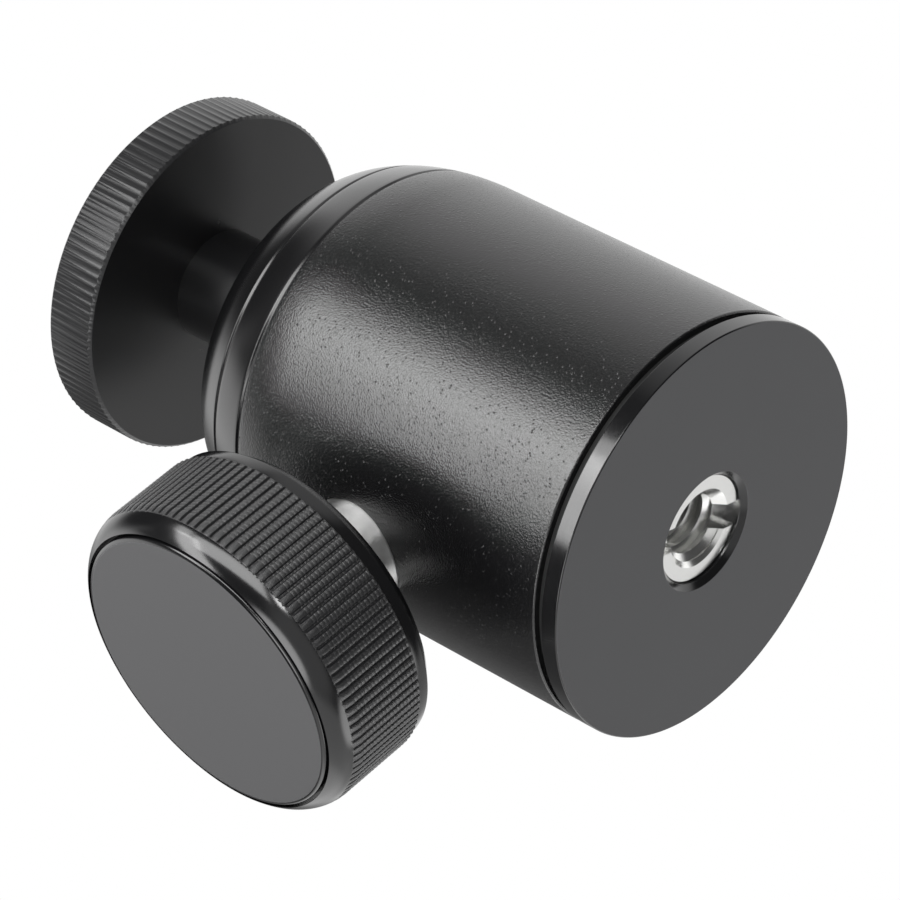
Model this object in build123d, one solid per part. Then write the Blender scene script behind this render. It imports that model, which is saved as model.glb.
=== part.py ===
from build123d import *
from math import asin, cos, degrees, pi, sin, sqrt
import os

# A small tripod ball head. Millimetres, +Z up along the barrel, origin at the middle of the base face.
# The lock knob points along -Y. At rest the knob is tight and the ball stands upright.

# ---- driving dimensions: housing
barrel_wall = 3.4             # round the spigot's thread
barrel_length = 41.0          # from its lower rim to the crown's top
barrel_edge = 0.12            # chamfer of the lower rim
crown_height = 12.2           # the domed end of the barrel
lip_land = 1.06               # flat ring round the mouth
mouth_edge = 0.3              # chamfer at the mouth
groove_drops = (5.0, 8.4)     # the two turned lines, below the crown's top
groove_width = 0.36
groove_depth = 0.3
base_thickness = 1.57
base_edge = 0.1
gasket_thickness = 0.73
gasket_inset = 0.65           # the gasket stands this far inside the barrel's rim
spigot_length = 7.3           # threaded spigot of the base plate, inside the barrel
spigot_step = 0.55            # the spigot's thread is this much larger than the bed

# ---- driving dimensions: tripod socket
socket_radius = 4.7625        # 3/8 in thread
socket_mouth = 0.46           # chamfer at the socket's mouth
bushing_sink = 0.69           # the bushing's end below the base face
bushing_length = 7.7
bushing_radius = 2.6          # 1/4 in thread, as a plain bore
bushing_mouth = 0.85
bushing_edge = 0.15
slot_width = 2.2
slot_depth = 1.2
slot_turn = 19.0              # degrees from +Y about the barrel axis

# ---- driving dimensions: ball and its seats
ball_radius = 12.5
ball_sink = 6.6               # ball centre below the crown's top
ball_fit = 0.03               # radial clearance in both seat rings
lip_clearance = 0.3           # between the ball and the crown lip, and over the cup's floor
bore_clearance = 0.7          # between the ball and the barrel's bore
slide_fit = 0.05              # clearance of everything that turns or slides
shoulder_rise = 4.2           # shoulder for the upper seat ring, above the ball centre
upper_ring_height = 3.25
lower_ring_lift = 2.8         # underside of the lower seat ring, above the ball's lowest point
lower_ring_height = 3.0
lower_ring_wall = 1.3
cup_rim_drop = 0.5            # the cup's rim below the top of its seat ring
cup_floor = 1.0               # metal left over the middle of the ramp
cup_skirt = 0.9               # the cup's underside below the middle of the ramp
cup_gap = 0.6                 # between the cup and the bed
bed_step = 0.85               # shoulder in the bore that the bed is pressed against
spring_wire = 0.5
spring_radius = 1.75
spring_pitch = 1.4
pocket_clearance = 0.3
pocket_depth = 5.0

# ---- driving dimensions: lock screw, wedge and sleeve
lock_drop = 2.46              # lock axis below the lowest point of the ball
lock_travel = 1.0             # one turn of the M6 screw
ramp_slope = 0.2              # lift of the cup per travel of the wedge
wedge_radius = 3.0
wedge_reach = 4.0             # the wedge's tip, past the barrel axis
wedge_gap = 0.05              # between the screw's tip and the wedge
tip_setback = 0.25            # the wedge's outer end, inside the bore's wall
screw_radius = 3.0
sleeve_radius = 4.64
sleeve_nose_radius = 4.0
sleeve_setback = 0.2          # the sleeve's inner end stays this far behind the bore's wall
sleeve_seat = 1.2             # depth of the sleeve's counterbore in the barrel
sleeve_seat_gap = 0.12        # fine gap round the sleeve where it enters the barrel
sleeve_edge = 0.2
sleeve_reach = 3.6            # how far the sleeve reaches into the knob

# ---- driving dimensions: knob
knob_gap = 5.8                # between the barrel and the knob's back
knob_back_chamfer = 0.96
knob_band = 1.01              # plain band behind the knurl
knob_band_drop = 0.3          # the band lies this far inside the knurl's crests
knurl_length = 6.83           # as far as its crests are level
knurl_depth = 0.28
knurl_tip = 0.05              # height of the sharp ridge tips that the blank lacks
knurl_pitch = 0.835
shoulder_length = 2.47        # rounded front shoulder of the knob, into which the knurl runs out
shoulder_drop = 1.40          # from the knurl's crests in to the cap's seat
cap_radius = 12.74
cap_thickness = 1.2
cap_proud = 0.22              # the cap stands this far out of the shoulder
cap_gap = 0.16                # fine gap round the cap
cap_edge = 0.25
knob_bore_clearance = 0.36    # between the sleeve and the knob's bore
knob_end_gap = 0.4            # between the sleeve's end and the knob's web
knob_web = 3.4
hex_flats = 5.0               # hexagonal end of the lock screw
hex_short = 0.2               # the hexagon ends this far inside the web
knob_screw_radius = 1.5
knob_screw_length = 6.7
knob_screw_head_radius = 2.75
knob_screw_head = 1.7
knob_screw_socket = 2.5       # across the flats of its socket
knob_screw_socket_depth = 1.0
washer_thickness = 0.7
washer_margin = 0.25          # the washer's rim outside the screw head
washer_bore_clearance = 0.15
head_clearance = 0.6          # round the washer, in the knob's front recess

# ---- driving dimensions: stem and platform
stem_radius = 4.94
stem_length = 6.62            # between the ball's spot face and the platform
stem_screw_radius = 4.0
stem_screw_length = 9.3
stem_hole_spare = 0.2
spot_margin = 0.4             # spot face on the ball, round the stem
disc_radius = 15.3
disc_thickness = 5.0
disc_edge = 0.3
rib_depth = 0.22
rib_pitch = 0.83
stem_spigot_radius = 3.5
stem_spigot_short = 0.2
flange_radius = 6.0
flange_thickness = 1.2
flange_clearance = 0.2
pad_radius = 13.6
pad_thickness = 1.2
pad_proud = 0.5
pad_bore_clearance = 0.4
camera_screw_radius = 3.175   # 1/4 in thread
camera_screw_reach = 5.3      # above the pad
camera_screw_point = 0.5
camera_screw_relief = 0.3     # undercut below the thread
camera_screw_relief_top = 0.1
tail_radius = 2.5
tail_length = 6.8
tail_hole_spare = 0.5

# ---- places along the barrel axis (Z)
barrel_bottom = base_thickness + gasket_thickness
crown_top = barrel_bottom + barrel_length
crown_bottom = crown_top - crown_height
ball_z = crown_top - ball_sink
shoulder_z = ball_z + shoulder_rise
ball_bottom = ball_z - ball_radius
lower_ring_bottom = ball_bottom + lower_ring_lift
lower_ring_top = lower_ring_bottom + lower_ring_height
cup_top = lower_ring_top - cup_rim_drop
lock_z = ball_bottom - lock_drop
ramp_z = ball_bottom - lip_clearance - cup_floor
cup_bottom = ramp_z - cup_skirt
bed_top = cup_bottom - cup_gap
spigot_top = barrel_bottom + spigot_length

# ---- radii that follow
lip_sphere = ball_radius + lip_clearance
mouth_radius = sqrt(lip_sphere**2 - ball_sink**2)
crown_top_radius = mouth_radius + lip_land
bore_radius = ball_radius + bore_clearance
bed_radius = bore_radius + bed_step
thread_radius = bed_radius + spigot_step
barrel_radius = thread_radius + barrel_wall
seat_sphere = ball_radius + ball_fit
lower_ring_radius = sqrt(seat_sphere**2 - (ball_z - lower_ring_top) ** 2) + lower_ring_wall
cup_radius = bore_radius - slide_fit
channel_radius = wedge_radius + slide_fit
pocket_radius = spring_radius + spring_wire / 2 + pocket_clearance
spring_offset = (channel_radius + bed_radius) / 2
cap_seat_radius = cap_radius + cap_gap
knurl_radius = cap_seat_radius + shoulder_drop
knob_band_radius = knurl_radius - knob_band_drop

# ---- places along the lock axis, as distances from the barrel axis
sleeve_inner_end = bore_radius + sleeve_setback
sleeve_seat_floor = barrel_radius - sleeve_seat
knob_back = barrel_radius + knob_gap
knob_band_start = knob_back + knob_back_chamfer
knurl_start = knob_band_start + knob_band
knurl_end = knurl_start + knurl_length
shoulder_end = knurl_end + shoulder_length
cap_face = shoulder_end + cap_proud
cap_back = cap_face - cap_thickness
sleeve_outer_end = knob_back + sleeve_reach
web_back = sleeve_outer_end + knob_end_gap
web_front = web_back + knob_web
wedge_end = bore_radius - tip_setback
screw_tip = wedge_end + wedge_gap

# ---- places on the stem and the platform
spot_radius = stem_radius + spot_margin
spot_z = ball_z + sqrt(ball_radius**2 - spot_radius**2)
stem_foot = spot_z + ball_fit
disc_bottom = stem_foot + stem_length
disc_top = disc_bottom + disc_thickness
pad_top = disc_top + pad_proud
pad_bottom = pad_top - pad_thickness
flange_bottom = pad_bottom - flange_thickness
camera_screw_top = pad_top + camera_screw_reach

lock_axis = Plane(origin=(0, 0, lock_z), x_dir=(1, 0, 0), z_dir=(0, -1, 0))
SPARE = 1.0                   # how far cutters run past what they cut


def turned(outline):
    """A solid turned about Z from a closed outline of (radius, height) points."""
    return revolve(Plane.XZ * make_face(Polyline(*outline, close=True)), Axis.Z)


def disc(radius, low, high):
    """A plain cylinder about Z between two heights."""
    return Pos(0, 0, low) * Cylinder(radius, high - low, align=(Align.CENTER, Align.CENTER, Align.MIN))


def toothed(crest, depth, pitch, low, high):
    """A prism about Z with straight teeth: as many as fit the pitch round the crest circle."""
    corners = 2 * round(2 * pi * crest / pitch)
    points = []
    for i in range(corners):
        radius = crest - depth * (i % 2)
        angle = 2 * pi * i / corners
        points.append((radius * cos(angle), radius * sin(angle)))
    return Pos(0, 0, low) * extrude(make_face(Polyline(*points, close=True)), high - low)


def across_x(outline, half_width):
    """A prism along X from a closed outline of (y, z) points, centred on the barrel axis."""
    return extrude(Plane.YZ * make_face(Polyline(*outline, close=True)), half_width, both=True)


def ramp_at(y):
    """Height of the cup's ramp over a place along Y."""
    return ramp_z - ramp_slope * y


# ---------------------------------------------------------------- housing
def barrel():
    """Turned body: domed crown with a lip over the ball, stepped bore, port for the lock sleeve."""
    rise = crown_top - crown_bottom
    inset = barrel_radius - crown_top_radius
    lip_start = (sqrt(lip_sphere**2 - shoulder_rise**2), shoulder_z)
    lip_angle = asin((ball_sink - mouth_edge) / lip_sphere)
    lip_end = (lip_sphere * cos(lip_angle), crown_top - mouth_edge)
    lip_middle_angle = (asin(shoulder_rise / lip_sphere) + lip_angle) / 2
    lip_middle = (lip_sphere * cos(lip_middle_angle), ball_z + lip_sphere * sin(lip_middle_angle))
    mouth = lip_end[0] + mouth_edge
    outline = [
        Line((thread_radius, barrel_bottom), (barrel_radius - barrel_edge, barrel_bottom)),
        Line((barrel_radius - barrel_edge, barrel_bottom), (barrel_radius, barrel_bottom + barrel_edge)),
        Line((barrel_radius, barrel_bottom + barrel_edge), (barrel_radius, crown_bottom)),
        EllipticalCenterArc((crown_top_radius, crown_bottom), inset, rise, arc_size=90),
        Line((crown_top_radius, crown_top), (mouth, crown_top)),
        Line((mouth, crown_top), lip_end),
        ThreePointArc(lip_end, lip_middle, lip_start),
        Polyline(
            lip_start,
            (bore_radius, shoulder_z),
            (bore_radius, bed_top),
            (bed_radius, bed_top),
            (bed_radius, spigot_top),
            (thread_radius, spigot_top),
            (thread_radius, barrel_bottom),
        ),
    ]
    body = revolve(Plane.XZ * make_face(Curve() + outline), Axis.Z)
    for drop in groove_drops:
        height = crown_top - drop
        surface = crown_top_radius + inset * sqrt(1 - ((height - crown_bottom) / rise) ** 2)
        body -= turned(
            [
                (surface - groove_depth, height),
                (surface + SPARE, height - groove_width / 2 * (1 + SPARE / groove_depth)),
                (surface + SPARE, height + groove_width / 2 * (1 + SPARE / groove_depth)),
            ]
        )
    body -= lock_axis * disc(sleeve_nose_radius, bore_radius - SPARE, barrel_radius)
    body -= lock_axis * disc(sleeve_radius + sleeve_seat_gap, sleeve_seat_floor, barrel_radius + SPARE)
    return body


def base_plate():
    """Thin disc with a threaded spigot; its 3/8 in socket goes right through."""
    return turned(
        [
            (socket_radius + socket_mouth, 0),
            (barrel_radius - base_edge, 0),
            (barrel_radius, base_edge),
            (barrel_radius, base_thickness - base_edge / 2),
            (barrel_radius - base_edge / 2, base_thickness),
            (thread_radius, base_thickness),
            (thread_radius, spigot_top),
            (socket_radius, spigot_top),
            (socket_radius, socket_mouth),
        ]
    )


def base_gasket():
    """Flat ring between base plate and barrel, set in from the rim."""
    ring = disc(barrel_radius - gasket_inset, base_thickness, barrel_bottom)
    return ring - disc(thread_radius, base_thickness - SPARE, barrel_bottom + SPARE)


def reducer_bushing():
    """3/8 to 1/4 in reducer, with a driver slot across its outer end."""
    bottom = bushing_sink
    top = bushing_sink + bushing_length
    sleeve = turned(
        [
            (bushing_radius + bushing_mouth, bottom),
            (socket_radius - bushing_edge, bottom),
            (socket_radius, bottom + bushing_edge),
            (socket_radius, top),
            (bushing_radius, top),
            (bushing_radius, bottom + bushing_mouth),
        ]
    )
    slot = Pos(0, 0, bottom) * Box(slot_width, 2 * (socket_radius + SPARE), 2 * slot_depth)
    return sleeve - Rot(0, 0, slot_turn) * slot


def wedge_bed():
    """Block under the cup: a half-round channel guides the wedge, two pockets hold the springs."""
    block = disc(bed_radius, spigot_top, bed_top)
    block -= lock_axis * disc(channel_radius, -wedge_reach - tip_setback, bed_radius + SPARE)
    block -= lock_axis * disc(sleeve_nose_radius, sleeve_inner_end, bed_radius + SPARE)
    pocket = disc(pocket_radius, bed_top - pocket_depth, bed_top + SPARE)
    for side in (-1, 1):
        block -= Pos(side * spring_offset, 0, 0) * pocket
    return block


def cup_springs():
    """Two light coil springs between the bed's pockets and the cup."""
    low = bed_top - pocket_depth + spring_wire / 2
    height = cup_bottom - spring_wire / 2 - low
    path = Helix(spring_pitch, height, spring_radius)
    coil = sweep(Plane(origin=path @ 0, z_dir=path % 0) * Circle(spring_wire / 2), path=path)
    return [Pos(side * spring_offset, 0, low) * coil for side in (-1, 1)]


def lock_sleeve():
    """Steel sleeve in the barrel's wall, tapped through for the lock screw."""
    return lock_axis * turned(
        [
            (screw_radius + slide_fit, sleeve_inner_end),
            (sleeve_nose_radius, sleeve_inner_end),
            (sleeve_nose_radius, sleeve_seat_floor),
            (sleeve_radius, sleeve_seat_floor),
            (sleeve_radius, sleeve_outer_end - sleeve_edge),
            (sleeve_radius - sleeve_edge, sleeve_outer_end),
            (screw_radius + slide_fit, sleeve_outer_end),
        ]
    )


# ---------------------------------------------------------------- ball seats, cup and wedge
def upper_seat_ring():
    """Ring under the crown lip, bored to the ball."""
    top = shoulder_z - slide_fit
    ring = disc(bore_radius - slide_fit, top - upper_ring_height, top)
    return ring - Pos(0, 0, ball_z) * Sphere(seat_sphere)


def lower_seat_ring():
    """Ring in the cup that carries the ball."""
    ring = disc(lower_ring_radius, lower_ring_bottom, lower_ring_top)
    return ring - Pos(0, 0, ball_z) * Sphere(seat_sphere)


def lower_cup():
    """Cup in the bore, relieved under the ball; a ramp is milled across its underside."""
    body = disc(cup_radius, cup_bottom, cup_top)
    body -= Pos(0, 0, ball_z) * Sphere(lip_sphere)
    body -= disc(lower_ring_radius, lower_ring_bottom, cup_top + SPARE)
    far = (ramp_z - cup_bottom) / ramp_slope
    near = -cup_radius - SPARE
    slot = [(near, cup_bottom - SPARE), (far, cup_bottom - SPARE), (far, cup_bottom), (near, ramp_at(near))]
    return body - across_x(slot, channel_radius + slide_fit)


def wedge_plunger():
    """Round wedge under the cup; its flat ramp matches the cup's."""
    rod = lock_axis * disc(wedge_radius, -wedge_reach, wedge_end)
    near = -wedge_end - SPARE
    far = wedge_reach + SPARE
    top = lock_z + wedge_radius + SPARE + ramp_slope * (far - near)
    return rod - across_x(
        [(near, ramp_at(near) - slide_fit), (far, ramp_at(far) - slide_fit), (far, top), (near, top)],
        wedge_radius + SPARE,
    )


def ball():
    """Ball with a spot face and a blind hole for the stem."""
    hole_bottom = stem_foot - stem_screw_length - stem_hole_spare
    body = Pos(0, 0, ball_z) * Sphere(ball_radius)
    body -= disc(ball_radius, spot_z, ball_z + ball_radius + SPARE)
    return body - disc(stem_screw_radius, hole_bottom, spot_z + SPARE)


# ---------------------------------------------------------------- knob
def knob_shell():
    """Knurled knob: rounded shoulder, seat for the cap, hexagonal hole for the lock screw."""
    bore = sleeve_radius + knob_bore_clearance
    recess = knob_screw_head_radius + washer_margin + head_clearance
    shoulder_round = (shoulder_drop**2 + shoulder_length**2) / (2 * shoulder_drop)
    round_centre = knurl_radius - shoulder_round
    halfway = asin(shoulder_length / shoulder_round) / 2
    outline = [
        ThreePointArc(
            (knurl_radius, knurl_end),
            (round_centre + shoulder_round * cos(halfway), knurl_end + shoulder_round * sin(halfway)),
            (cap_seat_radius, shoulder_end),
        ),
        Polyline(
            (cap_seat_radius, shoulder_end),
            (cap_seat_radius, cap_back),
            (recess, cap_back),
            (recess, web_front),
            (0, web_front),
            (0, web_back),
            (bore, web_back),
            (bore, knob_back),
            (knob_band_radius - knob_back_chamfer, knob_back),
            (knob_band_radius, knob_band_start),
            (knob_band_radius, knurl_start),
            (knurl_radius, knurl_start),
            (knurl_radius, knurl_end),
        ),
    ]
    body = revolve(Plane.XZ * make_face(Curve() + outline), Axis.Z)
    ridges = toothed(knurl_radius + knurl_tip, knurl_depth + knurl_tip, knurl_pitch, knurl_start, shoulder_end)
    body -= disc(knurl_radius + SPARE, knurl_start, shoulder_end) - ridges
    hexagon = RegularPolygon(hex_flats / 2, 6, major_radius=False)
    body -= Pos(0, 0, web_back - SPARE) * extrude(hexagon, knob_web + 2 * SPARE)
    return lock_axis * body


def knob_cap():
    """Flat disc in the knob's front."""
    return lock_axis * turned(
        [
            (0, cap_back),
            (cap_radius, cap_back),
            (cap_radius, cap_face - cap_edge),
            (cap_radius - cap_edge, cap_face),
            (0, cap_face),
        ]
    )


def lock_screw():
    """M6 screw with a hexagonal end that drives it, drilled for the knob screw."""
    shank = disc(screw_radius, screw_tip, web_back)
    end = web_front - hex_short
    hexagon = RegularPolygon(hex_flats / 2, 6, major_radius=False)
    shank += Pos(0, 0, web_back) * extrude(hexagon, end - web_back)
    hole_bottom = web_front - knob_screw_length - washer_bore_clearance
    return lock_axis * (shank - disc(knob_screw_radius, hole_bottom, end + SPARE))


def knob_washer():
    """Spring washer under the head of the knob screw."""
    top = web_front + washer_thickness
    rim = disc(knob_screw_head_radius + washer_margin, web_front, top)
    return lock_axis * (rim - disc(knob_screw_radius + washer_bore_clearance, web_front - SPARE, top + SPARE))


def knob_screw():
    """M3 socket screw that holds the knob on the lock screw."""
    seat = web_front + washer_thickness
    top = seat + knob_screw_head
    screw = disc(knob_screw_radius, web_front - knob_screw_length, seat)
    screw += disc(knob_screw_head_radius, seat, top)
    hexagon = RegularPolygon(knob_screw_socket / 2, 6, major_radius=False)
    screw -= Pos(0, 0, top - knob_screw_socket_depth) * extrude(hexagon, knob_screw_socket_depth + SPARE)
    return lock_axis * screw


# ---------------------------------------------------------------- platform
def stem():
    """Round stem: screwed into the ball below, spigot and tapped hole for the platform above."""
    body = disc(stem_screw_radius - ball_fit, stem_foot - stem_screw_length, stem_foot)
    body += disc(stem_radius, stem_foot, disc_bottom)
    body += disc(stem_spigot_radius, disc_bottom, flange_bottom - stem_spigot_short)
    return body - disc(tail_radius, flange_bottom - tail_length - tail_hole_spare, flange_bottom)


def platform_disc():
    """Ribbed disc: flat underside, recess for the pad and for the camera screw's flange above."""
    root = disc_radius - rib_depth
    body = turned(
        [
            (stem_spigot_radius, disc_bottom),
            (disc_radius - disc_edge, disc_bottom),
            (disc_radius, disc_bottom + disc_edge),
            (root, disc_bottom + disc_edge),
            (root, disc_top - disc_edge),
            (disc_radius, disc_top - disc_edge),
            (disc_radius - disc_edge, disc_top),
            (pad_radius, disc_top),
            (pad_radius, pad_bottom),
            (flange_radius + flange_clearance, pad_bottom),
            (flange_radius + flange_clearance, flange_bottom),
            (stem_spigot_radius, flange_bottom),
        ]
    )
    ribs = toothed(disc_radius, rib_depth, rib_pitch, disc_bottom + disc_edge, disc_top - disc_edge)
    return body + (ribs - disc((root + pad_radius) / 2, disc_bottom, disc_top))


def platform_pad():
    """Rubber ring that the camera rests on."""
    ring = disc(pad_radius, pad_bottom, pad_top)
    return ring - disc(camera_screw_radius + pad_bore_clearance, pad_bottom - SPARE, pad_top + SPARE)


def camera_screw():
    """1/4 in stud; its flange clamps the disc on the stem, its tail screws into the stem."""
    neck = camera_screw_radius - camera_screw_relief
    thread_start = pad_top + camera_screw_relief_top
    return turned(
        [
            (0, flange_bottom - tail_length),
            (tail_radius, flange_bottom - tail_length),
            (tail_radius, flange_bottom),
            (flange_radius, flange_bottom),
            (flange_radius, pad_bottom),
            (neck, pad_bottom),
            (neck, thread_start),
            (camera_screw_radius, thread_start),
            (camera_screw_radius, camera_screw_top - camera_screw_point),
            (camera_screw_radius - camera_screw_point, camera_screw_top),
            (0, camera_screw_top),
        ]
    )


pieces = (
    barrel,
    base_plate,
    base_gasket,
    reducer_bushing,
    wedge_bed,
    cup_springs,
    lock_sleeve,
    upper_seat_ring,
    lower_seat_ring,
    lower_cup,
    wedge_plunger,
    ball,
    knob_shell,
    knob_cap,
    lock_screw,
    knob_washer,
    knob_screw,
    stem,
    platform_disc,
    platform_pad,
    camera_screw,
)

os.makedirs("parts", exist_ok=True)
for piece in pieces:
    shape = piece()
    if isinstance(shape, list):
        shape = Compound(children=shape)
    export_step(shape, f"parts/{piece.__name__}.step")

stem_stop = degrees(asin(mouth_radius / lip_sphere) - asin(stem_radius / lip_sphere))
print(f"lock axis at z {lock_z:.3f}, ball centre at z {ball_z:.3f}")
print(f"stem meets the lip at {stem_stop:.1f} degrees, cup lifts {lock_travel * ramp_slope:.2f} in one turn")
print(f"pad top at z {pad_top:.3f}, camera screw top at z {camera_screw_top:.3f}")
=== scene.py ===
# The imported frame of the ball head, and the box of its solids.
import bpy
import bmesh
from math import asin, ceil, cos, pi, radians, sin, sqrt
from mathutils import Matrix, Vector


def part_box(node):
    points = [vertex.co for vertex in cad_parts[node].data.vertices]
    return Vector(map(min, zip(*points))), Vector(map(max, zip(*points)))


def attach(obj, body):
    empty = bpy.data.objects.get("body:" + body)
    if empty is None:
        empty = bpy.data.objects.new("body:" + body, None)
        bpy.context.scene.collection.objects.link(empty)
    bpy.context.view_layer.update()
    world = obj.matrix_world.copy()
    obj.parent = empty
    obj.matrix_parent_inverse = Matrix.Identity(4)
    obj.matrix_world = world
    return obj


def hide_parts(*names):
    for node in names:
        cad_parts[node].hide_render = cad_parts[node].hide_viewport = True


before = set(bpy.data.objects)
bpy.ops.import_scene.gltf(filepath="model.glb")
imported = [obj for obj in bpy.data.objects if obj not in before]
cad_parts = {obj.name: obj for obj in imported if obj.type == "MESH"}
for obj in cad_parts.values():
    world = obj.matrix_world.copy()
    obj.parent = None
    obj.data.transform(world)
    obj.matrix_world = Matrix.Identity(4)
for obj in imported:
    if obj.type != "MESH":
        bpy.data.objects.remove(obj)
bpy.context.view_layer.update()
MM = 0.001


# ---- Camera
# A long lens looks up at the base face from the knob's side, as if the head lay on a table.
# Its place and its axes are given in the head's own frame.
camera_place = Vector((261.11, -205.71, -198.95)) * MM
camera_right = Vector((-0.1135, 0.6670, -0.7363)).normalized()
camera_up = Vector((0.7457, 0.5469, 0.3805)).normalized()
camera_back = camera_right.cross(camera_up)

camera_data = bpy.data.cameras.new("camera")
camera_data.lens = 194.59
camera_data.sensor_width = 36
camera_data.clip_start = 0.01
camera = bpy.data.objects.new("camera", camera_data)
camera.matrix_world = Matrix.LocRotScale(
    camera_place, Matrix((camera_right, camera_up, camera_back)).transposed(), None
)
bpy.context.scene.collection.objects.link(camera)
bpy.context.scene.camera = camera
bpy.context.scene.view_settings.view_transform = "Standard"


# ---- Studio
# A pale sweep stands behind and beside the head, and the room at the camera's side is dark.
# Polished faces show that: pale where they look away from the camera's side, dark where they face it.
def colour(code):
    """Linear colour from an sRGB hex code."""
    channels = [int(code[i : i + 2], 16) / 255 for i in (1, 3, 5)]
    return [c / 12.92 if c <= 0.04045 else ((c + 0.055) / 1.055) ** 2.4 for c in channels] + [1.0]


def add(tree, kind, inputs={}, **settings):
    """Adds a shader node with its settings; an input is a value or another node's output."""
    node = tree.nodes.new("ShaderNode" + kind)
    for name, value in settings.items():
        setattr(node, name, value)
    for socket, value in inputs.items():
        if isinstance(value, bpy.types.NodeSocket):
            tree.links.new(value, node.inputs[socket])
        else:
            node.inputs[socket].default_value = value
    return node


def from_camera(right, up, near):
    """A direction given to the right, upwards and towards the camera, turned into the head's frame."""
    return (camera_right * right + camera_up * up + camera_back * near).normalized()


# What polished faces mirror: the dark room, and in it these panels of light. For each panel, where it
# stands, the half angles in degrees within which it is full and beyond which it ends, and its glow.
room_glow = 0.05
panels = (
    (from_camera(0.0, 0.10, -1.0), 72, 88, 1.15),        # the paper sweep behind
    (from_camera(-0.24, 0.71, -0.66), 12, 28, 1.45),     # its brightest part, above on the left
    (from_camera(0.10, 0.97, 0.22), 12, 32, 0.7),        # the ceiling
    (from_camera(-0.26, -0.26, -0.93), 10, 26, 0.2),     # the paper in the head's own shade
    (from_camera(0.62, -0.50, -0.60), 12, 34, 0.7),      # the paper on the right
    (from_camera(0.0, -1.0, 0.0), 25, 42, 1.0),          # the table below
    (from_camera(-0.15, -0.82, -0.55), 12, 26, 1.6),     # the table's lit back
    (from_camera(0.15, -0.45, 0.90), 20, 40, 0.6),       # the table's front
    (from_camera(0.70, -0.71, 0.08), 12, 22, 3.4),       # a white card on the right
    (from_camera(-0.60, -0.52, -0.60), 12, 28, 0.15),    # the softbox's shadow on the table
    (from_camera(-0.99, -0.09, -0.09), 13, 24, 0.1),     # the gap beside the softbox
    (from_camera(-0.87, -0.15, -0.47), 9, 25, 1.7),      # a lamp behind on the left
    (from_camera(-0.75, 0.55, -0.35), 12, 30, 0.05),     # the softbox's back
    (from_camera(-0.452, -0.616, 0.645), 14, 21, 4.5),   # the softbox mirrored in the table
)
# Matt faces get an even glow from all round, and the camera sees a white backdrop.
diffuse_glow = 0.75
backdrop_glow = 1.0

world = bpy.data.worlds.new("studio")
bpy.context.scene.world = world
world.use_nodes = True
world.node_tree.nodes.clear()
tree = world.node_tree
looking = add(tree, "TexCoord").outputs["Generated"]
path = add(tree, "LightPath")
glossy = room_glow
for direction, full, end, glow in panels:
    facing = add(tree, "VectorMath", {0: looking, 1: direction}, operation="DOT_PRODUCT")
    within = add(
        tree,
        "MapRange",
        {
            "Value": facing.outputs["Value"],
            "From Min": cos(radians(end)),
            "From Max": cos(radians(full)),
        },
        interpolation_type="SMOOTHSTEP",
    )
    glossy = add(tree, "Mix", {"Factor": within.outputs[0], "A": glossy, "B": glow}).outputs[0]
lit = add(tree, "Mix", {"Factor": path.outputs["Is Glossy Ray"], "A": diffuse_glow, "B": glossy})
seen = add(
    tree,
    "Math",
    {0: path.outputs["Is Camera Ray"], 1: path.outputs["Is Transmission Ray"]},
    operation="MAXIMUM",
)
strength = add(tree, "Mix", {"Factor": seen.outputs[0], "A": lit.outputs[0], "B": backdrop_glow})
background = add(tree, "Background", {"Color": colour("#ffffff"), "Strength": strength.outputs[0]})
tree.links.new(background.outputs[0], add(tree, "OutputWorld").inputs["Surface"])


lamp_aim = Vector((0, 0, 20)) * MM


def softbox(name, direction, distance, width, height, watts, tilt=0):
    """A rectangular lamp that faces the head, turned in its own plane by an angle in degrees."""
    data = bpy.data.lights.new(name, "AREA")
    data.shape = "RECTANGLE"
    data.size = width
    data.size_y = height
    data.energy = watts
    lamp = bpy.data.objects.new(name, data)
    across = camera_up.cross(direction).normalized()
    across.rotate(Matrix.Rotation(radians(tilt), 3, direction))
    lamp.matrix_world = Matrix.LocRotScale(
        direction * distance + lamp_aim,
        Matrix((across, direction.cross(across), direction)).transposed(),
        None,
    )
    lamp.visible_camera = False
    bpy.context.scene.collection.objects.link(lamp)


# A large softbox hangs to the left of the camera, with a tall one beyond it and a small one at its end.
# A small lamp over the camera lights the lock sleeve. Distances and sides are in metres.
softbox("large_softbox", from_camera(-0.47, 0.41, 0.78), 0.40, 0.40, 0.20, 1.4, tilt=-12)
softbox("tall_softbox", from_camera(-0.889, 0.208, 0.408), 0.40, 0.115, 0.29, 0.70)
softbox("end_softbox", from_camera(-0.76, 0.588, 0.277), 0.40, 0.08, 0.11, 0.13)
softbox("small_softbox", from_camera(0.14, 0.21, 0.97), 0.50, 0.08, 0.08, 0.3)


# ---- Floor
# The pale paper that the head stands on, a hair below its base.
# From below it is clear, so that the base face can be seen.
floor_side = 3000 * MM
floor_drop = 0.3 * MM
mesh = bmesh.new()
bmesh.ops.create_grid(mesh, x_segments=1, y_segments=1, size=floor_side / 2)
bmesh.ops.translate(mesh, verts=mesh.verts, vec=(0, 0, -floor_drop))
floor_mesh = bpy.data.meshes.new("floor")
mesh.to_mesh(floor_mesh)
floor = bpy.data.objects.new("floor", floor_mesh)
bpy.context.scene.collection.objects.link(floor)


def new_material(name):
    """A material with an empty node tree, its tree, and its output's surface socket."""
    material = bpy.data.materials.new(name)
    material.use_nodes = True
    material.node_tree.nodes.clear()
    output = add(material.node_tree, "OutputMaterial")
    return material, material.node_tree, output.inputs["Surface"]


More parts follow.
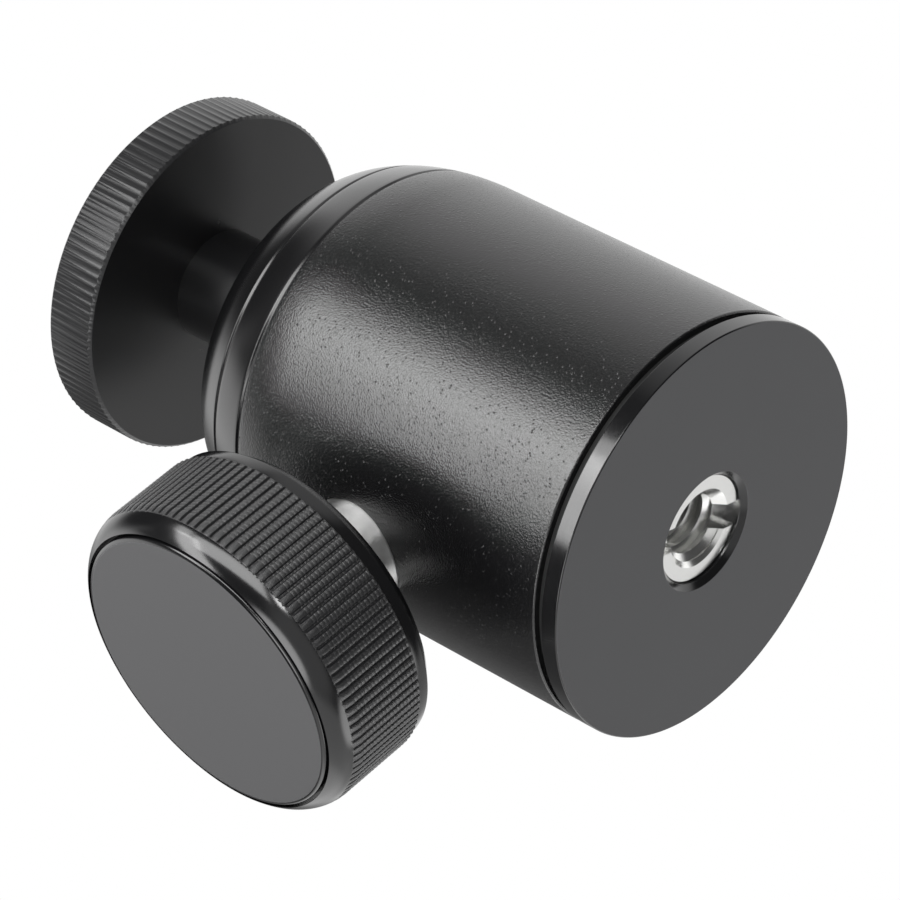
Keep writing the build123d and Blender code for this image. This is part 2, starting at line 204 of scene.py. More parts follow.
# Paper is matt and nearly white. Only the camera sees it: light passes it, because the head is lit
# from below too.
paper, tree, surface = new_material("paper_floor")
path = add(tree, "LightPath")
underside = add(tree, "NewGeometry").outputs["Backfacing"]
above = add(tree, "Math", {0: 1.0, 1: underside}, operation="SUBTRACT")
shown = add(
    tree,
    "Math",
    {0: path.outputs["Is Camera Ray"], 1: above.outputs[0]},
    operation="MULTIPLY",
)
pale = add(tree, "BsdfDiffuse", {"Color": colour("#f4f4f4")})
clear = add(tree, "BsdfTransparent")
mixed = add(tree, "MixShader", {0: shown.outputs[0], 1: clear.outputs[0], 2: pale.outputs[0]})
tree.links.new(mixed.outputs[0], surface)
floor_mesh.materials.append(paper)


# ---- Barrel
# The turned aluminium body: a domed crown with two fine V grooves, a lip over the ball, a stepped bore.
# It is sand-blasted and anodised black, and its side is drilled for the lock sleeve.

# Round pieces are turned in fine steps. Points within the weld's reach become one, and faces that
# meet at less than the shading angle in degrees shade as one surface.
turn_steps = 256
weld_reach = 1e-4
shading_angle = 32


def turned(outline, steps=turn_steps):
    """A closed outline of (radius, height) points in millimetres, turned once about Z."""
    mesh = bmesh.new()
    corners = [mesh.verts.new((radius, 0, height)) for radius, height in outline]
    for corner, following in zip(corners, corners[1:] + corners[:1]):
        mesh.edges.new((corner, following))
    bmesh.ops.spin(
        mesh,
        geom=mesh.verts[:] + mesh.edges[:],
        cent=(0, 0, 0),
        axis=(0, 0, 1),
        angle=2 * pi,
        steps=steps,
        use_merge=True,
    )
    bmesh.ops.remove_doubles(mesh, verts=mesh.verts, dist=weld_reach)
    bmesh.ops.recalc_face_normals(mesh, faces=mesh.faces)
    return mesh


def round_off(mesh, radius, sharp=25):
    """Rounds every edge at which the faces turn by more than an angle in degrees."""
    edges = [e for e in mesh.edges if e.is_manifold and e.calc_face_angle() > radians(sharp)]
    bmesh.ops.bevel(
        mesh,
        geom=edges,
        offset=radius,
        segments=3,
        profile=0.5,
        affect="EDGES",
        material=-1,
        clamp_overlap=True,
    )


def place(mesh, name, body, materials, node=None):
    """Puts a mesh in millimetres into the scene as a smooth piece that rides on a body."""
    bmesh.ops.scale(mesh, verts=mesh.verts, vec=(MM, MM, MM))
    data = bpy.data.meshes.new(name)
    mesh.to_mesh(data)
    mesh.free()
    data.shade_smooth()
    data.set_sharp_from_angle(angle=radians(shading_angle))
    for material in materials:
        data.materials.append(material)
    piece = bpy.data.objects.new(name, data)
    bpy.context.scene.collection.objects.link(piece)
    even = piece.modifiers.new("even_normals", "WEIGHTED_NORMAL")
    even.keep_sharp = True
    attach(piece, body)
    if node:
        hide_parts(node)
    return piece


def cut(mesh, *tools):
    """Takes closed meshes away from a mesh and returns what is left."""
    body = bpy.data.objects.new("body", bpy.data.meshes.new("body"))
    mesh.to_mesh(body.data)
    mesh.free()
    bpy.context.scene.collection.objects.link(body)
    helpers = [body]
    for tool in tools:
        helper = bpy.data.objects.new("tool", bpy.data.meshes.new("tool"))
        tool.to_mesh(helper.data)
        tool.free()
        bpy.context.scene.collection.objects.link(helper)
        subtract = body.modifiers.new("cut", "BOOLEAN")
        subtract.object = helper
        subtract.operation = "DIFFERENCE"
        subtract.solver = "EXACT"
        helpers.append(helper)
    bpy.context.view_layer.update()
    left = bmesh.new()
    left.from_object(body, bpy.context.evaluated_depsgraph_get())
    for helper in helpers:
        bpy.data.objects.remove(helper)
    return left


def in_mm(node):
    """The lowest and the highest corner of a solid, in millimetres."""
    low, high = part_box(node)
    return low / MM, high / MM


# Sizes are in millimetres. What other pieces have to meet is read from the solids.
barrel_low, barrel_high = in_mm("barrel")
ball_low, ball_high = in_mm("ball")
knob_low, knob_high = in_mm("knob_shell")
bed_low, bed_high = in_mm("wedge_bed")
barrel_radius = barrel_high.x
barrel_bottom = barrel_low.z
crown_top = barrel_high.z
ball_radius = ball_high.x
ball_z = ball_low.z + ball_radius
lock_z = (knob_low.z + knob_high.z) / 2
bed_radius = bed_high.x
bed_bottom = bed_low.z
bed_top = bed_high.z
crown_height = 12.2
lip_land = 1.06
lip_gap = 0.3
mouth_edge = 0.3
bore_gap = 0.7
shoulder_rise = 4.2
thread_step = 0.55
rim_edge = 0.12
barrel_edge_break = 0.06
groove_drops = (5.0, 8.4)
groove_width = 0.42
groove_depth = 0.16
groove_clear = 0.75 * groove_width
port_radius = 4.0
port_seat_radius = 4.76
port_seat_depth = 1.2
crown_bottom = crown_top - crown_height
lip_sphere = ball_radius + lip_gap
mouth_radius = sqrt(lip_sphere**2 - (crown_top - ball_z) ** 2)
crown_top_radius = mouth_radius + lip_land
bore_radius = ball_radius + bore_gap


def crown_radius(height):
    """The crown's outside is a quarter of an ellipse."""
    share = (height - crown_bottom) / crown_height
    return crown_top_radius + (barrel_radius - crown_top_radius) * sqrt(max(0, 1 - share**2))


crown_steps = 30
heights = [crown_bottom + crown_height * sin(pi / 2 * i / crown_steps) for i in range(crown_steps + 1)]
grooves = [crown_top - drop for drop in groove_drops]
heights = [h for h in heights if all(abs(h - groove) > groove_clear for groove in grooves)]
crown = [(crown_radius(h), h) for h in heights]
for groove in grooves:
    for side in (-1, 1):
        edge = groove + side * groove_width / 2
        crown.append((crown_radius(edge), edge))
    crown.append((crown_radius(groove) - groove_depth, groove))
crown.sort(key=lambda point: point[1])
lip_steps = 12
lip_top_angle = asin((crown_top - mouth_edge - ball_z) / lip_sphere)
lip_bottom_angle = asin(shoulder_rise / lip_sphere)
lip_sweep = lip_bottom_angle - lip_top_angle
lip_angles = [lip_top_angle + lip_sweep * i / lip_steps for i in range(lip_steps + 1)]
lip = [(lip_sphere * cos(a), ball_z + lip_sphere * sin(a)) for a in lip_angles]
thread_radius = bed_radius + thread_step
barrel_outline = [
    (thread_radius, barrel_bottom),
    (barrel_radius - rim_edge, barrel_bottom),
    (barrel_radius, barrel_bottom + rim_edge),
    *crown,
    (lip[0][0] + mouth_edge, crown_top),
    *lip,
    (bore_radius, lip[-1][1]),
    (bore_radius, bed_top),
    (bed_radius, bed_top),
    (bed_radius, bed_bottom),
    (thread_radius, bed_bottom),
]
barrel_mesh = turned(barrel_outline)
round_off(barrel_mesh, barrel_edge_break)


def rod_to_knob(radius, start, end, sides=96):
    """A rod along the lock axis, between two distances from the barrel's axis."""
    rod = bmesh.new()
    bmesh.ops.create_cone(
        rod, cap_ends=True, segments=sides, radius1=radius, radius2=radius, depth=end - start
    )
    bmesh.ops.rotate(rod, verts=rod.verts, cent=(0, 0, 0), matrix=Matrix.Rotation(pi / 2, 3, "X"))
    bmesh.ops.translate(rod, verts=rod.verts, vec=(0, -(start + end) / 2, lock_z))
    return rod


# The cutter for the sleeve's nose starts inside the bore and ends in the seat for its shoulder. The
# wider one for that seat ends outside.
inside_bore = bore_radius - 1
inside_seat = barrel_radius - 0.5
outside = barrel_radius + 2
port = rod_to_knob(port_radius, inside_bore, inside_seat)
port_seat = rod_to_knob(port_seat_radius, barrel_radius - port_seat_depth, outside)
barrel_mesh = cut(barrel_mesh, port, port_seat)

# Blasting leaves a fine pebbled skin, which spreads every highlight; the oxide over it is nearly black.
# The crown past the lower groove was turned again after blasting, so it is smooth. Real grit leaves
# marks of about 0.08 mm. They are drawn twice as coarse, as coarse as they need to be to show.
grit = 0.15
grit_height = 0.027
speck_spacing = 0.42
speck_size = 0.10
speck_height = 0.026
blast_end = 0.1
blasted, tree, surface = new_material("blasted_black_anodised_aluminium")
object_place = add(tree, "TexCoord").outputs["Object"]
height = add(tree, "SeparateXYZ", {0: object_place}).outputs["Z"]
still_blasted = add(
    tree,
    "MapRange",
    {
        "Value": height,
        "From Min": (grooves[1] - blast_end) * MM,
        "From Max": (grooves[1] + blast_end) * MM,
        "To Min": 1.0,
        "To Max": 0.0,
    },
).outputs[0]
pebbles = add(tree, "TexNoise", {"Vector": object_place, "Scale": 1 / (grit * MM), "Detail": 1.0})
skin = add(
    tree,
    "Bump",
    {"Height": pebbles.outputs["Fac"], "Strength": still_blasted, "Distance": grit_height * MM},
)
cells = add(tree, "TexVoronoi", {"Vector": object_place, "Scale": 1 / (speck_spacing * MM)})
speck_share = speck_size / speck_spacing
specks = add(
    tree,
    "MapRange",
    {"Value": cells.outputs["Distance"], "From Max": speck_share, "To Min": 1.0, "To Max": 0.0},
    interpolation_type="SMOOTHSTEP",
)
skin = add(
    tree,
    "Bump",
    {
        "Height": specks.outputs[0],
        "Strength": still_blasted,
        "Distance": speck_height * MM,
        "Normal": skin.outputs[0],
    },
)
sheen = add(tree, "MapRange", {"Value": still_blasted, "To Min": 0.20, "To Max": 0.27})
shader = add(
    tree,
    "BsdfPrincipled",
    {
        "Base Color": colour("#0a0a0b"),
        "Roughness": sheen.outputs[0],
        "IOR": 1.65,
        "Normal": skin.outputs[0],
    },
)
tree.links.new(shader.outputs[0], surface)
place(barrel_mesh, "barrel_body", "housing", [blasted], "barrel")


# ---- Base plate
# A thin disc, faced flat and smooth, with a bright cut rim and a chamfered 3/8 in socket.
# Its threaded spigot closes the barrel from below.
spigot_top = in_mm("base_plate")[1].z
base_thickness = in_mm("base_gasket")[0].z
base_edge = 0.1
edge_break = 0.05
socket_radius = 4.7625
socket_mouth = 0.46
base_mesh = turned(
    [
        (socket_radius + socket_mouth, 0),
        (barrel_radius - base_edge, 0),
        (barrel_radius, base_edge),
        (barrel_radius, base_thickness - base_edge / 2),
        (barrel_radius - base_edge / 2, base_thickness),
        (thread_radius, base_thickness),
        (thread_radius, spigot_top),
        (socket_radius, spigot_top),
        (socket_radius, socket_mouth),
    ]
)
round_off(base_mesh, edge_break)

# The bottom face is one material, and the rim, the chamfers and the spigot are the other.
face_reach = 0.01
for face in base_mesh.faces:
    face.material_index = int(face.calc_center_median().z > face_reach)


def marked(name, code, crisp, dull, mark_size, detail, **sockets):
    """A finish whose marks, of a size in millimetres, vary its roughness between two values."""
    material, tree, surface = new_material(name)
    object_place = add(tree, "TexCoord").outputs["Object"]
    marks = add(
        tree, "TexNoise", {"Vector": object_place, "Scale": 1 / (mark_size * MM), "Detail": detail}
    )
    sheen = add(tree, "MapRange", {"Value": marks.outputs["Fac"], "To Min": crisp, "To Max": dull})
    shader = add(
        tree,
        "BsdfPrincipled",
        {"Base Color": colour(code), "Roughness": sheen.outputs[0], **sockets},
    )
    tree.links.new(shader.outputs[0], surface)
    return material


# The face is satin: a fine-turned cut dulled by etching before it was anodised. It clouds softly.
satin = marked(
    "satin_black_anodised_aluminium",
    "#38383a",
    crisp=0.40, dull=0.46, mark_size=9, detail=2.0, IOR=1.5,
)

# The rim and the chamfers come straight from a sharp tool, so they mirror the studio crisply.
cut_black = marked(
    "bright_cut_black_anodised_aluminium",
    "#0e0e0f",
    crisp=0.13, dull=0.19, mark_size=0.4, detail=2.0, IOR=1.6,
)
place(base_mesh, "base_disc", "housing", [satin, cut_black], "base_plate")


# ---- Base gasket
# A flat ring cut from rubber sheet, clamped between base plate and barrel.
# It is set back from the rim, so it shows as a dark gap.
def finish(node, material):
    """Gives a solid of the frame its material."""
    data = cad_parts[node].data
    data.materials.clear()
    data.materials.append(material)


# Rubber is matt, with a fine dry grain that is black to very dark grey.
rubber_grain = 0.15
rubber_grain_height = 0.02
rubber, tree, surface = new_material("matt_black_rubber")
object_place = add(tree, "TexCoord").outputs["Object"]
grain = add(tree, "TexNoise", {"Vector": object_place, "Scale": 1 / (rubber_grain * MM), "Detail": 3.0})
skin = add(
    tree,
    "Bump",
    {"Height": grain.outputs["Fac"], "Strength": 0.6, "Distance": rubber_grain_height * MM},
)
tone = add(
    tree,
    "Mix",
    {"Factor": grain.outputs["Fac"], "A": colour("#121212"), "B": colour("#1f1f1f")},
    data_type="RGBA",
)
shader = add(
    tree,
    "BsdfPrincipled",
    {"Base Color": tone.outputs[2], "Roughness": 0.75, "IOR": 1.5, "Normal": skin.outputs[0]},
)
tree.links.new(shader.outputs[0], surface)
finish("base_gasket", rubber)


# ---- Reducer bushing
# The standard 3/8 in to 1/4 in reducer, nickel-plated steel, sunk a little into the base.
# It is tapped 1/4-20, and a screwdriver slot is milled across its outer end.
def threaded_rod(crest, root, pitch, low, high, steps=48):
    """A rod about Z with a right-hand 60 degree thread, cut square at two heights. The flats at its root
    and crest are shares of the pitch."""
    rod = bmesh.new()
    first = low - pitch
    root_flat = 0.25
    crest_flat = 0.125
    flank = (1 - root_flat - crest_flat) / 2
    profile = ((root, 0), (root, root_flat), (crest, root_flat + flank), (crest, 1 - flank), (root, 1))
    corners = [rod.verts.new((radius, 0, first + share * pitch)) for radius, share in profile]
    for corner, following in zip(corners, corners[1:]):
        rod.edges.new((corner, following))
    turns = ceil((high - first) / pitch) + 1
    bmesh.ops.spin(
        rod,
        geom=rod.verts[:] + rod.edges[:],
        cent=(0, 0, 0),
        axis=(0, 0, 1),
        angle=2 * pi * turns,
        steps=steps * turns,
        dvec=(0, 0, pitch / steps),
    )
    bmesh.ops.remove_doubles(rod, verts=rod.verts, dist=10 * weld_reach)
    for height, side in ((low, -1), (high, 1)):
        bmesh.ops.bisect_plane(
            rod,
            geom=rod.verts[:] + rod.edges[:] + rod.faces[:],
            plane_co=(0, 0, height),
            plane_no=(0, 0, side),
            clear_outer=True,
        )
    bmesh.ops.holes_fill(rod, edges=[e for e in rod.edges if e.is_boundary])
    bmesh.ops.recalc_face_normals(rod, faces=rod.faces)
    return rod


bushing_low, bushing_high = in_mm("reducer_bushing")
quarter_inch_crest = 3.175
quarter_inch_pitch = 25.4 / 20
bushing_bore = 2.6
bushing_steps = 128
tap_stock = 0.3
drill_radius = bushing_bore - tap_stock
tap_reach = 1
bushing_mouth = 0.85
bushing_edge = 0.15
slot_width = 2.2
slot_depth = 1.2
slot_length = 4 * socket_radius
slot_turn = 19
bushing_mesh = turned(
    [
        (bushing_bore + bushing_mouth, bushing_low.z),
        (socket_radius - bushing_edge, bushing_low.z),
        (socket_radius, bushing_low.z + bushing_edge),
        (socket_radius, bushing_high.z),
        (drill_radius, bushing_high.z),
        (drill_radius, bushing_low.z + bushing_mouth),
        (bushing_bore, bushing_low.z + bushing_mouth),
    ],
    steps=bushing_steps,
)
slot_cutter = bmesh.new()
bmesh.ops.create_cube(slot_cutter, size=1)
bmesh.ops.scale(slot_cutter, verts=slot_cutter.verts, vec=(slot_width, slot_length, 2 * slot_depth))
bmesh.ops.rotate(
    slot_cutter,
    verts=slot_cutter.verts,
    cent=(0, 0, 0),
    matrix=Matrix.Rotation(radians(slot_turn), 3, "Z"),
)
bmesh.ops.translate(slot_cutter, verts=slot_cutter.verts, vec=(0, 0, bushing_low.z))
tap = threaded_rod(
    quarter_inch_crest,
    bushing_bore,
    quarter_inch_pitch,
    bushing_low.z - tap_reach,
    bushing_high.z + tap_reach,
)
bushing_mesh = cut(bushing_mesh, tap, slot_cutter)

# Nickel plate is a bright grey, and the tool marks under it blur what it mirrors.
mark_size = 0.3
mark_height = 0.01
nickel, tree, surface = new_material("nickel_plated_steel")
object_place = add(tree, "TexCoord").outputs["Object"]
marks = add(tree, "TexNoise", {"Vector": object_place, "Scale": 1 / (mark_size * MM), "Detail": 3.0})
sheen = add(tree, "MapRange", {"Value": marks.outputs["Fac"], "To Min": 0.16, "To Max": 0.26})
skin = add(tree, "Bump", {"Height": marks.outputs["Fac"], "Strength": 0.3, "Distance": mark_height * MM})
shader = add(
    tree,
    "BsdfPrincipled",
    {
        "Base Color": colour("#f4f4f2"),
        "Metallic": 1.0,
        "Roughness": sheen.outputs[0],
        "Normal": skin.outputs[0],
    },
)
tree.links.new(shader.outputs[0], surface)
place(bushing_mesh, "reducer", "housing", [nickel], "reducer_bushing")


# ---- Lock sleeve
# A turned steel sleeve, screwed into the barrel's side as far as its shoulder and tapped for the
# lock screw. Its plain end stands into the back of the knob, which turns on it.
sleeve_low, sleeve_high = in_mm("lock_sleeve")
sleeve_radius = sleeve_high.x
sleeve_nose_radius = 4.0
sleeve_bore = 3.05
sleeve_edge = 0.2
sleeve_steps = 128
sleeve_inner = -sleeve_high.y
sleeve_outer = -sleeve_low.y
sleeve_seat = barrel_radius - port_seat_depth


def to_knob(mesh):
    """Lays a mesh made about Z along the lock axis, with its heights towards the knob."""
    bmesh.ops.rotate(mesh, verts=mesh.verts, cent=(0, 0, 0), matrix=Matrix.Rotation(pi / 2, 3, "X"))
    bmesh.ops.translate(mesh, verts=mesh.verts, vec=(0, 0, lock_z))
    return mesh


sleeve_mesh = turned(
    [
        (sleeve_bore, sleeve_inner),
        (sleeve_nose_radius, sleeve_inner),
        (sleeve_nose_radius, sleeve_seat),
        (sleeve_radius, sleeve_seat),
        (sleeve_radius, sleeve_outer - sleeve_edge),
        (sleeve_radius - sleeve_edge, sleeve_outer),
        (sleeve_bore, sleeve_outer),
    ],
    steps=sleeve_steps,
)
round_off(sleeve_mesh, edge_break)

# Fine rings from the tool spread what the steel mirrors along its axis, and handling has stained it
# here and there.
stain_size = 1.2
steel, tree, surface = new_material("bright_turned_steel")
object_place = add(tree, "TexCoord").outputs["Object"]
stains = add(tree, "TexNoise", {"Vector": object_place, "Scale": 1 / (stain_size * MM), "Detail": 4.0})
sheen = add(tree, "MapRange", {"Value": stains.outputs["Fac"], "To Min": 0.38, "To Max": 0.5})
tint = add(
    tree,
    "Mix",
    {"Factor": stains.outputs["Fac"], "A": colour("#c4c4c3"), "B": colour("#f4f4f3")},
    data_type="RGBA",
)
shader = add(
    tree,
    "BsdfPrincipled",
    {
        "Base Color": tint.outputs[2],
        "Metallic": 1.0,
        "Roughness": sheen.outputs[0],
        "Anisotropic": 0.85,
        "Tangent": add(tree, "CombineXYZ", {"Y": 1.0}).outputs[0],
    },
)
tree.links.new(shader.outputs[0], surface)
place(to_knob(sleeve_mesh), "sleeve", "housing", [steel], "lock_sleeve")


# ---- Knob
# Turned and anodised aluminium: a straight knurl over fine turning rings, a rounded front shoulder, a
# chamfered back. Its web is clamped on the lock screw, and a thin satin disc is pressed into its front.
cap_low, cap_high = in_mm("knob_cap")
knob_back = -knob_high.y
knob_radius = knob_high.x
cap_radius = cap_high.x
cap_back = -cap_high.y
cap_face = -cap_low.y
shoulder_end = -knob_low.y
back_chamfer = 0.96
band = 1.01
band_drop = 0.3
band_radius = knob_radius - band_drop
cap_gap = 0.3
cap_edge = 0.25
cap_round = 0.45
seat_radius = cap_radius + cap_gap
shoulder_drop = knob_radius - seat_radius
shoulder_length = 2.47
shoulder_round = (shoulder_drop**2 + shoulder_length**2) / (2 * shoulder_drop)
knurl_start = knob_back + back_chamfer + band
knurl_end = shoulder_end - shoulder_length
knurl_depth = 0.26
ring_wall = 0.6
ring_overlap = 0.3
band_overlap = 0.05
ring_inner = seat_radius - ring_wall
core_radius = ring_inner + ring_overlap
core_start = knurl_start + band_overlap
knob_bore = 5.0
sleeve_gap = 0.4
web_thickness = 3.4
web_back = sleeve_outer + sleeve_gap
web_front = web_back + web_thickness
recess_radius = 3.6
screw_hole_radius = 3.0
knob_mesh = turned(
    [
        (knob_bore, knob_back),
        (band_radius - back_chamfer, knob_back),
        (band_radius, knob_back + back_chamfer),
        (band_radius, core_start),
        (core_radius, core_start),
        (core_radius, cap_back),
        (recess_radius, cap_back),
        (recess_radius, web_front),
        (screw_hole_radius, web_front),
        (screw_hole_radius, web_back),
        (knob_bore, web_back),
    ]
)
round_off(knob_mesh, edge_break)


def toothed_ring(count, across, along, inner):
    """A closed ring about Z with straight teeth. across: (share of the pitch, depth) over one tooth,
    from valley to valley. along: (height, radius of the turned blank, share of the depth cut there)."""
    ring = bmesh.new()
    columns = len(across) - 1
    rows = len(along) - 1
    bmesh.ops.create_grid(ring, x_segments=columns, y_segments=rows, size=0.5)
    for corner in ring.verts:
        share, depth = across[round((corner.co.x + 0.5) * columns)]
        height, blank_radius, cut_share = along[round((corner.co.y + 0.5) * rows)]
        radius = blank_radius - depth * cut_share
        angle = 2 * pi / count * share
        corner.co = (radius * cos(angle), radius * sin(angle), height)
    bmesh.ops.spin(
        ring,
        geom=ring.verts[:] + ring.edges[:] + ring.faces[:],
        cent=(0, 0, 0),
        axis=(0, 0, 1),
        angle=2 * pi * (count - 1) / count,
        steps=count - 1,
        use_duplicate=True,
    )
    bmesh.ops.remove_doubles(ring, verts=ring.verts, dist=weld_reach)
    rims = [e for e in ring.edges if e.is_boundary]
    for corner in bmesh.ops.extrude_edge_only(ring, edges=rims)["geom"]:
        if isinstance(corner, bmesh.types.BMVert):
            corner.co.xy = corner.co.xy.normalized() * inner
    bmesh.ops.bridge_loops(ring, edges=[e for e in ring.edges if e.is_boundary])
    bmesh.ops.recalc_face_normals(ring, faces=ring.faces)
    return ring


def joined(mesh, other):
    """Adds one mesh to another."""
    data = bpy.data.meshes.new("joined")
    other.to_mesh(data)
    other.free()
    mesh.from_mesh(data)
    bpy.data.meshes.remove(data)
    return mesh


# Each tooth has a rounded crest between narrow valleys. The knurl runs out on the shoulder.
knurl_pitch = 0.835
knurl_valley = 0.09
knurl_sag = 0.05
knurl_run = 0.94
knurl_run_out = 0.3
crest_side = 0.31
crest_steps = 3
start_chamfer = 0.2
knurl_count = round(2 * pi * knob_radius / knurl_pitch)
crest_turns = [i / crest_steps for i in range(-crest_steps, crest_steps + 1)]
knurl_across = (
    (0.0, knurl_depth),
    (knurl_valley, knurl_depth),
    *[(0.5 + crest_side * turn, knurl_sag * turn**2) for turn in crest_turns],
    (1 - knurl_valley, knurl_depth),
    (1.0, knurl_depth),
)
rings_start = knurl_start + start_chamfer
knurl_along = [
    (knurl_start, knob_radius - knurl_depth, 0),
    (rings_start, knob_radius, 1),
]
ring_depth = 0.035
ring_spacing = 0.39
ring_count = round((knurl_end - rings_start) / ring_spacing)
ring_pitch = (knurl_end - rings_start) / ring_count
for i in range(ring_count):
    for share, depth in ((0.25, 0), (0.5, ring_depth), (0.75, 0)):
        knurl_along.append((rings_start + (i + share) * ring_pitch, knob_radius - depth, 1))
shoulder_steps = 24
for i in range(shoulder_steps + 1):
    angle = asin(shoulder_length / shoulder_round) * i / shoulder_steps
    past = shoulder_round * sin(angle)
    radius = knob_radius - shoulder_round * (1 - cos(angle))
    cut_share = min(1, max(0, (knurl_run - past) / knurl_run_out))
    knurl_along.append((knurl_end + past, radius, cut_share))
knurl_along.append((cap_back, seat_radius, 0))
knurl = toothed_ring(knurl_count, knurl_across, knurl_along, ring_inner)
knob_mesh = joined(knob_mesh, knurl)
for face in knob_mesh.faces:
    centre = face.calc_center_median()
    on_rim = centre.xy.length > knob_radius - 2 * knurl_depth
    face.material_index = int(on_rim and knurl_start < centre.z < knurl_end + knurl_run)

# The shoulder and the back were cut bright, and hands have kept them glossy.
gloss_black = marked(
    "glossy_black_anodised_aluminium",
    "#0e0e0f",
    crisp=0.13, dull=0.19, mark_size=0.25, detail=3.0, IOR=1.6,
)

# The knurl was rolled over fine turning rings, which spread its highlights along the knob's axis.
# The rolled metal is greyer and rougher than the shoulder, with a fine torn grain.
torn_grain = 0.09
torn_grain_height = 0.03
knurled, tree, surface = new_material("knurled_black_anodised_aluminium")
object_place = add(tree, "TexCoord").outputs["Object"]
grain = add(tree, "TexNoise", {"Vector": object_place, "Scale": 1 / (torn_grain * MM), "Detail": 2.0})
sheen = add(tree, "MapRange", {"Value": grain.outputs["Fac"], "To Min": 0.28, "To Max": 0.4})
skin = add(
    tree,
    "Bump",
    {"Height": grain.outputs["Fac"], "Strength": 1.0, "Distance": torn_grain_height * MM},
)
shader = add(
    tree,
    "BsdfPrincipled",
    {
        "Base Color": colour("#202021"),
        "Roughness": sheen.outputs[0],
        "IOR": 1.72,
        "Anisotropic": 0.7,
        "Tangent": add(tree, "CombineXYZ", {"Y": 1.0}).outputs[0],
        "Normal": skin.outputs[0],
    },
)
tree.links.new(shader.outputs[0], surface)
place(to_knob(knob_mesh), "knob_body", "knob", [gloss_black, knurled], "knob_shell")

# The disc's rim is rounded over, wider than it is deep.
cap_round_steps = 6
cap_corner = []
for i in range(cap_round_steps + 1):
    angle = pi / 2 * i / cap_round_steps
    height = cap_face - cap_edge * (1 - sin(angle))
    cap_corner.append((cap_radius - cap_round * (1 - cos(angle)), height))
cap_mesh = turned([(0, cap_back), (cap_radius, cap_back), *cap_corner, (0, cap_face)])
for face in cap_mesh.faces:
    face.material_index = int(face.calc_center_median().z < cap_face - face_reach)

# The disc was etched paler than the base, to an even satin grey without a mirror image.
cap_satin = marked(
    "etched_black_anodised_aluminium",
    "#515152",
    crisp=0.42, dull=0.46, mark_size=9, detail=2.0, IOR=1.5,
)
place(to_knob(cap_mesh), "knob_front", "knob", [cap_satin, cut_black], "knob_cap")


# ---- Stem and ball
# The ball under the crown's lip, and the round stem that carries the platform, of turned aluminium.
# Both were polished before they were anodised, so they mirror the studio under a slight haze.
polished = marked(
    "polished_black_anodised_aluminium",
    "#101011",
    crisp=0.26, dull=0.32, mark_size=2, detail=2.0, IOR=1.5,
)
finish("ball", polished)
finish("stem", polished)


# ---- Platform
# A turned disc with a ribbed edge and a polished underside, anodised black. The flange of the
# 1/4 in steel camera stud clamps it on the stem, and a rubber ring round the stud grips the camera.
disc_low, disc_high = in_mm("platform_disc")
pad_low, pad_high = in_mm("platform_pad")
stud_top = in_mm("camera_screw")[1].z
disc_radius = disc_high.x
disc_bottom = disc_low.z
disc_top = disc_high.z
disc_edge = 0.3
rib_depth = 0.07
rib_pitch = 0.83
rib_wall = 0.8
rib_root = disc_radius - rib_wall
pad_radius = pad_high.x
flange_radius = 6.2
flange_thickness = 1.2
flange_play = 0.2
flange_bottom = pad_low.z - flange_thickness
spigot_radius = 3.5
disc_mesh = turned(
    [
        (spigot_radius, disc_bottom),
        (rib_root, disc_bottom),
        (rib_root, disc_top),
        (pad_radius, disc_top),
        (pad_radius, pad_low.z),
        (flange_radius, pad_low.z),
        (flange_radius, flange_bottom),
        (spigot_radius, flange_bottom),
    ]
)

# The ribs are rounded all over, and they end in a chamfer at either face.
rib_across = (
    (0.0, rib_depth),
    (0.16, rib_depth),
    (0.30, 0.5 * rib_depth),
    (0.42, 0.12 * rib_depth),
    (0.50, 0.0),
    (0.58, 0.12 * rib_depth),
    (0.70, 0.5 * rib_depth),
    (0.84, rib_depth),
    (1.0, rib_depth),
)
rib_along = (
    (disc_bottom, disc_radius - disc_edge, 0),
    (disc_bottom + disc_edge - rib_depth, disc_radius - rib_depth, 0),
    (disc_bottom + disc_edge, disc_radius, 1),
    (disc_top - disc_edge, disc_radius, 1),
    (disc_top - disc_edge + rib_depth, disc_radius - rib_depth, 0),
    (disc_top, disc_radius - disc_edge, 0),
)
rib_count = round(2 * pi * disc_radius / rib_pitch)
ribs = toothed_ring(rib_count, rib_across, rib_along, rib_root)
disc_mesh = joined(disc_mesh, ribs)
flat_normal = 0.9
for face in disc_mesh.faces:
    at_rim = face.calc_center_median().xy.length > disc_radius - disc_edge
    face.material_index = int(at_rim and abs(face.normal.z) < flat_normal)

# The ribs are as the tool left them, so they shine less than the underside.
rib_black = marked(
    "ribbed_black_anodised_aluminium",
    "#1c1c1d",
    crisp=0.26, dull=0.36, mark_size=0.2, detail=3.0, IOR=1.45,
)
place(disc_mesh, "platform_plate", "platform", [polished, rib_black], "platform_disc")
finish("platform_pad", rubber)

stud_root = 2.42
thread_sink = 0.6
thread_start = pad_high.z - thread_sink
flange_steps = 96
stud_mesh = threaded_rod(quarter_inch_crest, stud_root, quarter_inch_pitch, thread_start, stud_top)
flange = turned(
    [
        (0, flange_bottom),
        (flange_radius - flange_play, flange_bottom),
        (flange_radius - flange_play, pad_low.z),
        (stud_root, pad_low.z),
        (stud_root, thread_start),
        (0, thread_start),
    ],
    steps=flange_steps,
)
stud_mesh = joined(stud_mesh, flange)
place(stud_mesh, "camera_stud", "platform", [steel], "camera_screw")


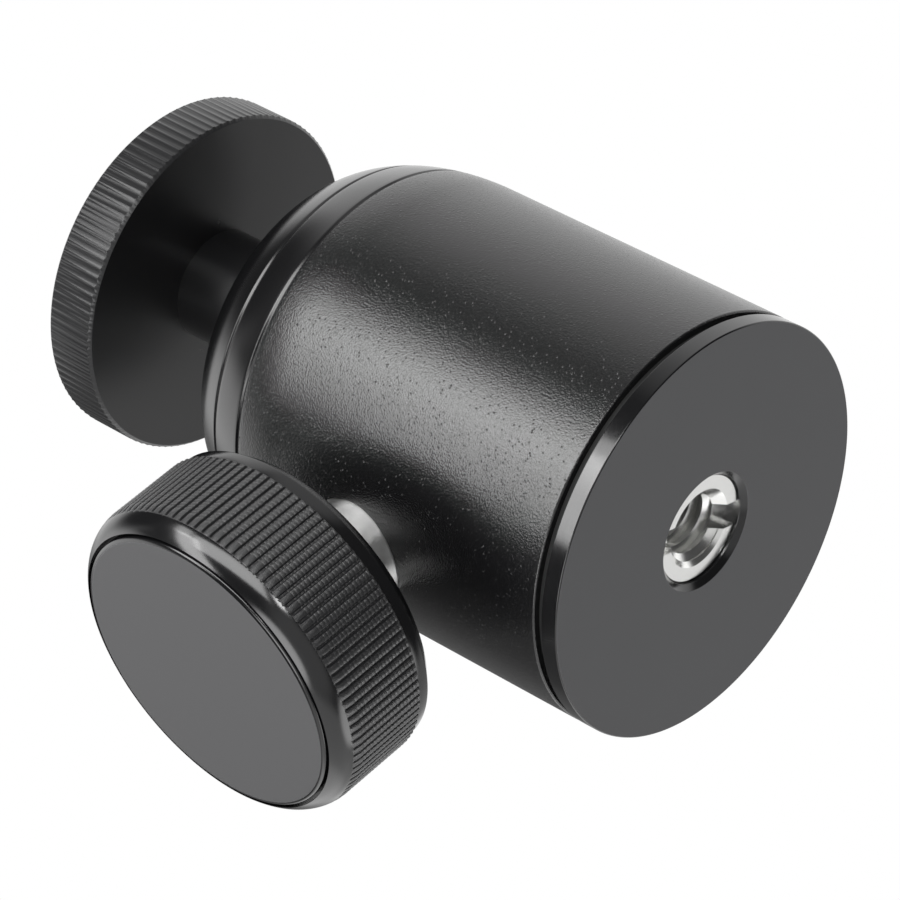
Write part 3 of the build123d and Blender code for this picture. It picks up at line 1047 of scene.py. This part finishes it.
# ---- Parts inside
# Two moulded seat rings hold the ball. A turned cup under it is lifted by a milled wedge, which slides
# in a bed that the base plate holds. Two light springs keep the cup against the ball, and screws of
# plated steel hold the knob. Acetal is a soft white, the metals are as cut: grey, yellow and bluish.
acetal = marked(
    "moulded_white_acetal",
    "#e9e6de",
    crisp=0.39, dull=0.51, mark_size=0.4, detail=3.0,
)
bare_aluminium = marked(
    "turned_bare_aluminium",
    "#d0d0d2",
    crisp=0.29, dull=0.41, mark_size=0.3, detail=3.0, Metallic=1.0,
)
brass = marked(
    "milled_brass",
    "#d8bb78",
    crisp=0.24, dull=0.36, mark_size=0.3, detail=3.0, Metallic=1.0,
)
zinc = marked(
    "zinc_plated_steel",
    "#c9c9cb",
    crisp=0.29, dull=0.41, mark_size=0.25, detail=3.0, Metallic=1.0,
)
for node in ("upper_seat_ring", "lower_seat_ring"):
    finish(node, acetal)
for node in ("wedge_bed", "lower_cup"):
    finish(node, bare_aluminium)
finish("wedge_plunger", brass)
for node in ("lock_screw", "knob_washer", "knob_screw"):
    finish(node, zinc)


def coil(radius, wire, pitch, low, high, sides=10, steps=24):
    """A coil spring of round wire about Z, between two heights, with closed wire ends."""
    spring = bmesh.new()
    turns = round((high - low - wire) / pitch * steps) / steps
    bmesh.ops.create_circle(spring, segments=sides, radius=wire / 2)
    bmesh.ops.rotate(spring, verts=spring.verts, cent=(0, 0, 0), matrix=Matrix.Rotation(pi / 2, 3, "X"))
    bmesh.ops.translate(spring, verts=spring.verts, vec=(radius, 0, low + wire / 2))
    bmesh.ops.spin(
        spring,
        geom=spring.verts[:] + spring.edges[:],
        cent=(0, 0, 0),
        axis=(0, 0, 1),
        angle=2 * pi * turns,
        steps=round(steps * turns),
        dvec=(0, 0, (high - low - wire) / (steps * turns)),
    )
    bmesh.ops.remove_doubles(spring, verts=spring.verts, dist=weld_reach)
    bmesh.ops.holes_fill(spring, edges=[e for e in spring.edges if e.is_boundary])
    bmesh.ops.recalc_face_normals(spring, faces=spring.faces)
    return spring


# The two springs under the cup end short of it by the cup's own travel, so it never sinks into them.
springs_low, springs_high = in_mm("cup_springs")
spring_wire = 0.5
spring_radius = 1.75
spring_pitch = 1.4
cup_travel = 0.22
spring_offset = springs_high.x - spring_radius - spring_wire / 2
spring_top = springs_high.z - cup_travel
springs_mesh = bmesh.new()
for side in (-1, 1):
    spring = coil(spring_radius, spring_wire, spring_pitch, springs_low.z, spring_top)
    bmesh.ops.translate(spring, verts=spring.verts, vec=(side * spring_offset, 0, 0))
    springs_mesh = joined(springs_mesh, spring)
place(springs_mesh, "spring_pair", "housing", [zinc], "cup_springs")
